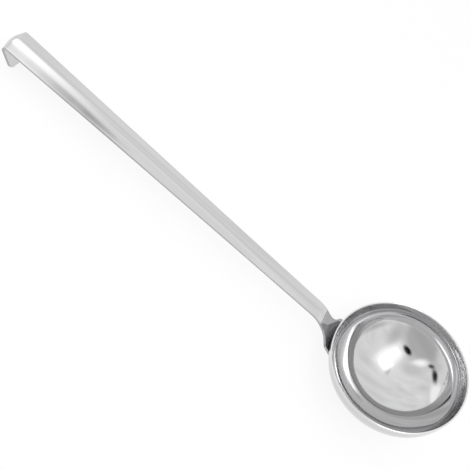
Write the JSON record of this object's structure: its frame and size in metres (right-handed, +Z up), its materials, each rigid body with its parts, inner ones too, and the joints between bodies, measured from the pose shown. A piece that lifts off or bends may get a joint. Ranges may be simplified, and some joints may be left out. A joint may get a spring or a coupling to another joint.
{
  "type": "ladle",
  "caption": "Deep round bowl with a long arched strip handle, which spreads into a leaf on the bowl's side and hooks over at its far end.",
  "frame": {"origin": "middle of the ladle's box seen from above, on the surface that it lies on", "axes": "+X from the hook towards the bowl, +Z up as the ladle lies on the bowl's bottom and the hook's tip; the XZ plane cuts it into two mirrored halves"},
  "size_m": [0.398, 0.1, 0.06],
  "materials": {
    "bowl_steel": "mirror polished stainless steel",
    "handle_steel": "mirror polished stainless steel"
  },
  "bodies": {
    "root": {"bowl": "bowl_steel", "handle": "handle_steel"}
  },
  "joints": []
}
